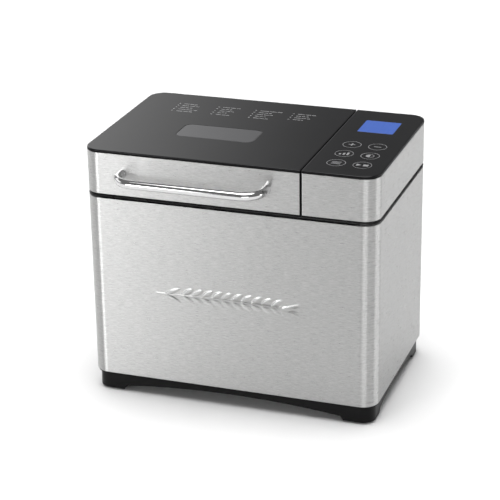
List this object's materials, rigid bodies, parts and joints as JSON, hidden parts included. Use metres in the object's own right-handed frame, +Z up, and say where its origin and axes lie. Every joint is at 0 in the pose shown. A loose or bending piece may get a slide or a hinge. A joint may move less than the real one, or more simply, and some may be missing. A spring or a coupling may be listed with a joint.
{
  "type": "bread machine",
  "caption": "Countertop bread machine with a steel-wrapped body, hinged windowed lid with a bar handle, glossy control panel, lift-out pan and belt-driven kneading paddle.",
  "frame": {"origin": "centre of the bounding box's base, on the surface that the feet stand on", "axes": "+X to the right as seen from the front, +Y from the front to the back, +Z up"},
  "size_m": [0.36, 0.2722, 0.3136],
  "materials": {
    "stainless": "horizontal brushed grain",
    "plated_steel": "smooth plated sheet",
    "zinc_steel": "zinc plated",
    "motor_iron": "laminated core",
    "chrome": "polished",
    "gloss_black": "high gloss",
    "black_plastic": "satin",
    "component_plastic": "moulded",
    "rear_paint": "fine powder coat",
    "foot_rubber": "matte",
    "seal_silicone": "silicone",
    "window_tint": "smoked glass",
    "clear_glass": "clear",
    "display_blue": "backlit film",
    "circuit_board": "solder mask",
    "cable_jacket": "braided sleeve",
    "element_sheath": "heat darkened steel",
    "cast_aluminium": "cast",
    "bronze": "sintered bronze",
    "nonstick": "non-stick coated"
  },
  "bodies": {
    "housing": {"body_shell": "stainless", "rear_panel": "rear_paint", "base_plinth": "black_plastic", "foot_pads": "foot_rubber", "base_screws": "zinc_steel", "rear_screws": "zinc_steel", "deck_frame": "black_plastic", "hinge_brackets": "zinc_steel", "hinge_pins": "zinc_steel", "cord_gland": "black_plastic", "control_housing": "black_plastic", "control_fascia": "stainless", "control_panel": "gloss_black", "display_lens": "display_blue", "display_module": "component_plastic", "control_board": "circuit_board", "touch_pads": "bronze", "oven_chamber": "plated_steel", "heating_element": "element_sheath", "heater_clips": "zinc_steel", "temperature_sensor": "zinc_steel", "thermal_fuse": "component_plastic", "heat_shield": "plated_steel", "pan_seat": "cast_aluminium", "seat_screws": "zinc_steel", "drive_frame": "zinc_steel", "bearing_housing": "cast_aluminium", "drive_bushes": "bronze", "drive_belt": "foot_rubber", "motor_body": "motor_iron", "motor_mounts": "foot_rubber", "run_capacitor": "component_plastic", "power_board": "circuit_board", "terminal_block": "component_plastic", "wiring_harness": "cable_jacket"},
    "drive": {"drive_shaft": "zinc_steel", "drive_coupling": "cast_aluminium", "large_pulley": "component_plastic"},
    "rotor": {"motor_shaft": "zinc_steel", "motor_fan": "black_plastic", "motor_pulley": "cast_aluminium"},
    "lid": {"lid_frame": "black_plastic", "lid_skin": "stainless", "lid_panel": "gloss_black", "viewing_window": "window_tint", "inner_pane": "clear_glass", "window_gasket": "seal_silicone", "lid_liner": "plated_steel", "lid_seal": "seal_silicone", "lid_handle": "chrome", "handle_screws": "zinc_steel", "hinge_leaves": "zinc_steel"},
    "pan": {"bread_pan": "nonstick", "pan_base": "cast_aluminium", "pan_bearing": "bronze", "pan_ears": "zinc_steel"},
    "bail": {"bail_handle": "chrome"},
    "paddle": {"paddle_shaft": "zinc_steel", "kneading_paddle": "nonstick", "shaft_circlip": "zinc_steel"}
  },
  "joints": [
    {"name": "lid_hinge", "type": "hinge", "parent": "housing", "child": "lid", "pos_m": [-0.044, 0.1261, 0.258], "axis": [-1, 0, 0], "range_deg": [0, 85]},
    {"name": "drive_spin", "type": "hinge", "parent": "housing", "child": "drive", "pos_m": [-0.044, 0.0071, 0.05], "axis": [0, 0, 1], "continuous": true},
    {"name": "motor_spin", "type": "hinge", "parent": "housing", "child": "rotor", "pos_m": [0.128, 0.0071, 0.06], "axis": [0, 0, 1], "continuous": true},
    {"name": "pan_lift", "type": "slide", "parent": "housing", "child": "pan", "axis": [0, 0, 1], "range_m": [0, 0.012]},
    {"name": "bail_swing", "type": "hinge", "parent": "pan", "child": "bail", "pos_m": [-0.044, 0.0071, 0.2271], "axis": [-1, 0, 0], "range_deg": [0, 180]},
    {"name": "paddle_spin", "type": "hinge", "parent": "pan", "child": "paddle", "pos_m": [-0.044, 0.0071, 0.1], "axis": [0, 0, 1], "continuous": true}
  ],
  "couplings": [
    {"joint": "drive_spin", "follows": "motor_spin", "ratio": 0.16},
    {"joint": "paddle_spin", "follows": "motor_spin", "ratio": 0.16}
  ]
}
